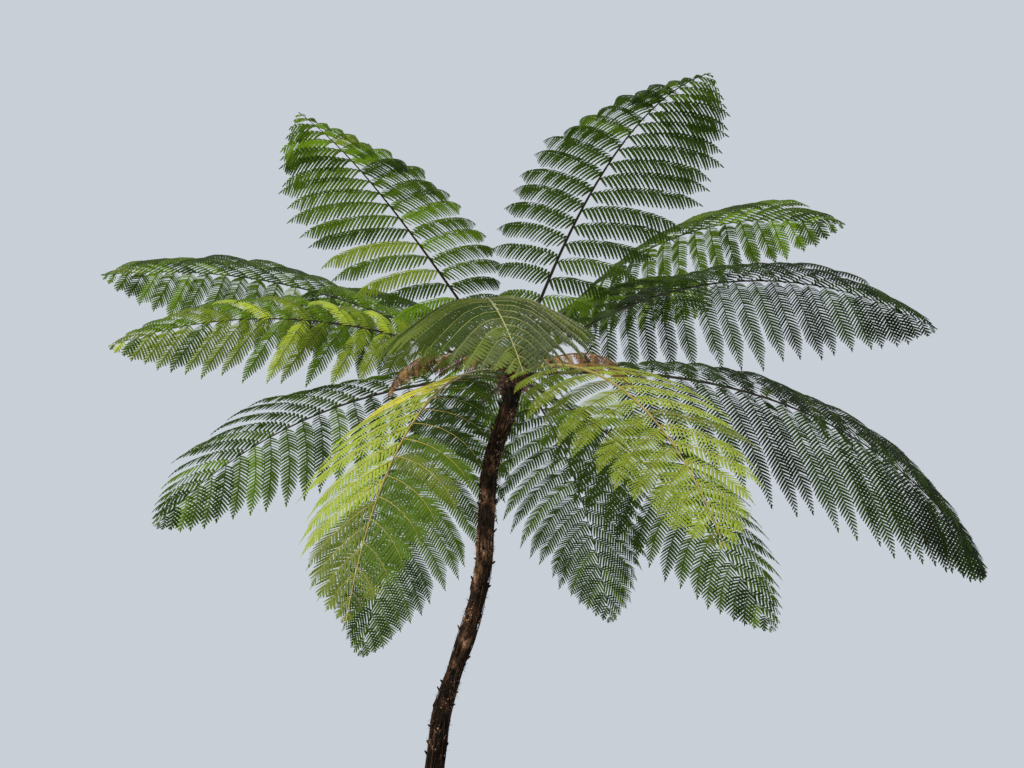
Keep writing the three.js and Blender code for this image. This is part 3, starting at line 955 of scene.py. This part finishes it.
def add_wire(heap):
    low = rng.uniform(WIRE_FROM, TRUNK_HEIGHT - WIRE_MARGIN)
    long = rng.uniform(*WIRE_LENGTHS)
    z = np.linspace(low, min(low + long, TRUNK_HEIGHT - TOP_MARGIN), WIRE_STEPS)
    turn = rng.uniform(0, FULL_TURN)
    turn = turn + WIRE_WANDER * np.sin(z * rng.uniform(*WIRE_WAVES) + rng.uniform(*WIRE_PHASES))
    bulge = np.sin(np.linspace(0, np.pi, WIRE_STEPS)) * rng.uniform(*WIRE_BULGES)
    line = off_trunk(z, turn, trunk_radius(z, turn) - WIRE_SUNK + WIRE_BULGE * bulge)
    points, faces = tube(line, np.full(WIRE_STEPS, rng.uniform(*WIRE_RADII)), WIRE_SIDES, ACROSS)
    heap.add(points, faces, int(rng.random() < RUSTY_CHANCE))


# Stubs of old leaf stalks in a spiral, closest together near the crown.
STUBS = 150
STUB_STEPS = 4
STUB_SIDES = 6
STUB_RANGE = 3.4
STUB_CROWDING = 1.5
STUB_JITTER = (-0.3, 0.3)
STUB_SUNK = 0.012
STUB_LENGTHS = (0.018, 0.042)
STUB_OUT = 0.75
STUB_RISES = (0.4, 1.1)
STUB_BEND = 1.4
STUB_ROOT = 0.0085
STUB_TIP = 0.0045
STUB_WIDTHS = (0.7, 1.1)


def add_stub(heap, k):
    height = TRUNK_HEIGHT - TOP_MARGIN - STUB_RANGE * rng.uniform(0, 1) ** STUB_CROWDING
    turn = k * GOLDEN_TURN + rng.uniform(*STUB_JITTER)
    outward = around(turn)
    root = off_trunk(height, turn, trunk_radius(height, turn) - STUB_SUNK)
    long = rng.uniform(*STUB_LENGTHS)
    steps = np.linspace(0, 1, STUB_STEPS)[:, None]
    line = root + outward * long * steps * STUB_OUT
    line = line + UP * long * steps**STUB_BEND * rng.uniform(*STUB_RISES)
    radii = lerp(STUB_ROOT, STUB_TIP, steps[:, 0]) * rng.uniform(*STUB_WIDTHS)
    points, faces = tube(line, radii, STUB_SIDES, np.cross(UP, outward))
    heap.add(points, faces, int(rng.random() < RUSTY_CHANCE))


# Ragged tufts of fibre: dark ones all over, and pale ones in patches.
TUFTS = 2600
TUFT_FROM = 0.05
TUFT_LOWEST = 0.03
TUFT_DARK_CHANCE = 0.85
TUFT_SUNK = 0.004
TUFT_OUT = 0.6
TUFT_SPREAD = 0.35
TUFT_DOWN_CHANCE = 0.7
TUFT_LENGTHS = (0.012, 0.036)
TUFT_WIDTHS = (0.002, 0.007)
PATCHES = 26
PATCH_TUFTS = 70
PATCH_FROM = 0.35
PATCH_MARGIN = 0.45
PATCH_JITTER = 0.8
PATCH_HEIGHT = 0.045
PATCH_TURN = 0.55
FIRST_PALE_TONE = 2
PALE_CHANCE = 0.5


def add_tufts(heap):
    height = rng.uniform(TUFT_FROM, TRUNK_HEIGHT - TOP_MARGIN, TUFTS)
    turn = rng.uniform(0, FULL_TURN, TUFTS)
    tone = np.where(rng.random(TUFTS) < TUFT_DARK_CHANCE, 0, 1)
    steps = np.arange(PATCHES) + rng.uniform(0, PATCH_JITTER, PATCHES)
    patch_heights = PATCH_FROM + (TRUNK_HEIGHT - PATCH_MARGIN) * steps / PATCHES
    patch_turns = rng.uniform(0, FULL_TURN, PATCHES)
    for patch_height, patch_turn in zip(patch_heights, patch_turns):
        height = np.append(height, patch_height + rng.normal(0, PATCH_HEIGHT, PATCH_TUFTS))
        turn = np.append(turn, patch_turn + rng.normal(0, PATCH_TURN, PATCH_TUFTS))
        tone = np.append(tone, FIRST_PALE_TONE + (rng.random(PATCH_TUFTS) < PALE_CHANCE))
    height = np.clip(height, TUFT_LOWEST, TRUNK_HEIGHT - TOP_MARGIN)
    count = len(height)
    root = off_trunk(height, turn, trunk_radius(height, turn) - TUFT_SUNK)
    lean = unit(around(turn) * TUFT_OUT + rng.normal(0, TUFT_SPREAD, (count, 3)))
    way = np.where(rng.random(count) < TUFT_DOWN_CHANCE, -1.0, 1.0)[:, None] * UP
    length = rng.uniform(*TUFT_LENGTHS, count)
    add_scales(heap, root, lean, way, length, rng.uniform(*TUFT_WIDTHS, count), tone)


wires = Heap()
for _ in range(WIRES):
    add_wire(wires)
for k in range(STUBS):
    add_stub(wires, k)
add_tufts(wires)
wire_materials = [
    solid_material("root_dark", ROOT_FINISH, (0.006, 0.004, 0.003), (0.022, 0.014, 0.009)),
    solid_material("root_rusty", ROOT_FINISH, (0.030, 0.015, 0.009), (0.100, 0.050, 0.029)),
    solid_material("tuft_brown", TUFT_FINISH, (0.110, 0.055, 0.032), (0.260, 0.150, 0.095)),
    solid_material("tuft_pale", TUFT_FINISH, (0.280, 0.160, 0.100), (0.560, 0.360, 0.250)),
]
wire_piece = wires.build("trunk_roots", wire_materials)
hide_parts("trunk")

# Head: a rough egg.
HEAD_SIDES = 40
HEAD_ROWS = 34
HEAD_TOP_SHARE = 0.999
HEAD_LEAST = 0.0005
HEAD_WAVES = 12
HEAD_WAVE_HEIGHT = 0.0016
HEAD_LOBES = (3, 9)
HEAD_RATES = (30, 90)
HEAD_PHASES = (0, 6)


def head_mesh():
    z = np.linspace(-HEAD_BELOW, HEAD_ABOVE * HEAD_TOP_SHARE, HEAD_ROWS)[:, None]
    turns = ring_turns(HEAD_SIDES)
    radius = head_radius(z) + 0 * turns
    for _ in range(HEAD_WAVES):
        lobes = rng.integers(*HEAD_LOBES)
        wave = z * rng.uniform(*HEAD_RATES) + lobes * turns + rng.uniform(*HEAD_PHASES)
        radius += HEAD_WAVE_HEIGHT * np.sin(wave)
    radius = np.maximum(radius, HEAD_LEAST)
    points = CROWN + (around(turns) * radius[..., None] + UP * z[..., None])
    ends = CROWN + UP * np.array([[-HEAD_BELOW], [HEAD_ABOVE]])
    return np.vstack([points.reshape(-1, 3), ends]), ring_faces(HEAD_ROWS, HEAD_SIDES)


heap = Heap()
heap.add(*head_mesh(), 0)
head_material = solid_material("head_skin", HEAD_FINISH, (0.014, 0.009, 0.006), (0.075, 0.042, 0.024))
head_piece = heap.build("crown_head_skin", [head_material])
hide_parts("crown_head")

# Scales on the head, sunk a little into it.
SCALE_TONES = 3
SCALE_SUNK = 0.002
HEAD_SCALES = 2600
HEAD_SCALES_LOW = 0.9
HEAD_SCALES_HIGH = 0.97
HEAD_SCALE_SPREAD = 0.3
HEAD_SCALE_LENGTHS = (0.018, 0.05)
HEAD_SCALE_WIDTHS = (0.002, 0.0045)


def on_head(height, turn):
    return CROWN + around(turn) * (head_radius(height) - SCALE_SUNK)[:, None] + UP * height[:, None]


def add_head_scales(heap):
    count = HEAD_SCALES
    height = rng.uniform(-HEAD_BELOW * HEAD_SCALES_LOW, HEAD_ABOVE * HEAD_SCALES_HIGH, count)
    turn = rng.uniform(0, FULL_TURN, count)
    wobble = unit(around(turn) + rng.normal(0, HEAD_SCALE_SPREAD, (count, 3)))
    upward = np.broadcast_to(UP, (count, 3))
    length = rng.uniform(*HEAD_SCALE_LENGTHS, count)
    width = rng.uniform(*HEAD_SCALE_WIDTHS, count)
    tones = rng.integers(0, SCALE_TONES, count)
    add_scales(heap, on_head(height, turn), wobble, upward, length, width, tones)


# Scales round the foot of each frond, shorter further out.
STALK_SCALES = 130
STALK_PART = (0.008, 0.15)
STALK_INSET = 0.95
STALK_SCALE_LENGTHS = (0.012, 0.034)
STALK_SCALE_WIDTHS = (0.0018, 0.0035)
STALK_LONGEST = 1.25
STALK_SHORTENING = 5


def add_stalk_scales(heap, frond):
    line = blade_line(frond, FROND_STEPS)
    share = rng.uniform(*STALK_PART, STALK_SCALES)
    along, side, up = blade_frames(frond, share)
    turn = rng.uniform(0, FULL_TURN, STALK_SCALES)[:, None]
    outward = side * np.cos(turn) + up * np.sin(turn)
    radius = lerp(RIB_BASE, RIB_TIP, share**RIB_TAPER)
    root = on_line(line, share) + outward * radius[:, None] * STALK_INSET
    length = rng.uniform(*STALK_SCALE_LENGTHS, STALK_SCALES) * (STALK_LONGEST - share * STALK_SHORTENING)
    width = rng.uniform(*STALK_SCALE_WIDTHS, STALK_SCALES)
    tones = rng.integers(0, SCALE_TONES, STALK_SCALES)
    add_scales(heap, root, outward, along, length, width, tones)


# Broad pale flakes that hang under the head.
FLAKES = 70
FLAKES_TO = -0.02
FLAKE_LENGTHS = (0.035, 0.075)
FLAKE_WIDTHS = (0.008, 0.018)
FLAKE_TONE = 3


def add_flakes(heap):
    height = rng.uniform(-HEAD_BELOW, FLAKES_TO, FLAKES)
    turn = rng.uniform(0, FULL_TURN, FLAKES)
    downward = np.broadcast_to(-UP, (FLAKES, 3))
    length = rng.uniform(*FLAKE_LENGTHS, FLAKES)
    width = rng.uniform(*FLAKE_WIDTHS, FLAKES)
    add_scales(heap, on_head(height, turn), around(turn), downward, length, width, FLAKE_TONE)


scales = Heap()
add_head_scales(scales)
for frond in FRONDS:
    add_stalk_scales(scales, frond)
add_flakes(scales)
scale_materials = [
    solid_material("scale_dark", SCALE_FINISH, (0.020, 0.012, 0.008), (0.060, 0.035, 0.020)),
    solid_material("scale_brown", SCALE_FINISH, (0.070, 0.038, 0.020), (0.150, 0.085, 0.045)),
    solid_material("scale_rusty", SCALE_FINISH, (0.160, 0.075, 0.030), (0.330, 0.180, 0.080)),
    solid_material("scale_flake", FLAKE_FINISH, (0.160, 0.085, 0.050), (0.420, 0.270, 0.180)),
]
scale_piece = scales.build("crown_scales", scale_materials)
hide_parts("crown_head")

# Plain pale floor.
FLOOR_SIDES = 96
FLOOR_RADIUS = 90
FLOOR_LEVEL = -0.001
FLOOR_COLOUR = (0.335, 0.35, 0.375, 1)
FLOOR_ROUGHNESS = 0.9

rim = around(ring_turns(FLOOR_SIDES)) * FLOOR_RADIUS + UP * FLOOR_LEVEL
floor_mesh = bpy.data.meshes.new("floor")
floor_mesh.from_pydata(rim.tolist(), [], [tuple(range(FLOOR_SIDES))])
floor = bpy.data.objects.new("floor", floor_mesh)
bpy.context.scene.collection.objects.link(floor)
pale, tree, output = new_material("floor_pale")
shader = tree.nodes.new("ShaderNodeBsdfPrincipled")
shader.inputs["Base Color"].default_value = FLOOR_COLOUR
shader.inputs["Roughness"].default_value = FLOOR_ROUGHNESS
tree.links.new(shader.outputs[0], output.inputs["Surface"])
floor_mesh.materials.append(pale)

# Soft light from all round, and three broad suns.
WORLD_COLOUR = (0.82, 0.88, 0.95, 1)
WORLD_STRENGTH = 0.71
Sun = namedtuple("Sun", "name way strength softness colour")
SUNS = [
    Sun("key", (6.4, 5.0, -6.5), 4.3, 18, (1.0, 0.95, 0.84)),
    Sun("back", (-3.1, -6.5, -5.8), 1.7, 30, (1.0, 0.97, 0.9)),
    Sun("fill", (-5.6, 6.0, 0.5), 0.4, 40, (0.92, 0.96, 1.0)),
]

world = bpy.data.worlds.new("studio")
bpy.context.scene.world = world
world.use_nodes = True
background = world.node_tree.nodes["Background"]
background.inputs["Color"].default_value = WORLD_COLOUR
background.inputs["Strength"].default_value = WORLD_STRENGTH
for sun in SUNS:
    data = bpy.data.lights.new(sun.name, "SUN")
    data.energy = sun.strength
    data.angle = math.radians(sun.softness)
    data.color = sun.colour
    light = bpy.data.objects.new(sun.name, data)
    bpy.context.scene.collection.objects.link(light)
    way = unit(np.array(sun.way))
    light.rotation_euler = (math.acos(-way[2]), 0, math.atan2(way[1], way[0]) - math.pi / 2)

camera_data = bpy.data.cameras.new("camera")
camera_data.lens = CAMERA_LENS
camera_data.sensor_width = CAMERA_SENSOR
camera_data.clip_end = CAMERA_REACH
camera = bpy.data.objects.new("camera", camera_data)
bpy.context.scene.collection.objects.link(camera)
camera.location = CAMERA_PLACE
camera.rotation_euler = (math.radians(90 + CAMERA_RISE), 0, 0)
bpy.context.scene.camera = camera
bpy.context.scene.view_settings.view_transform = "Standard"
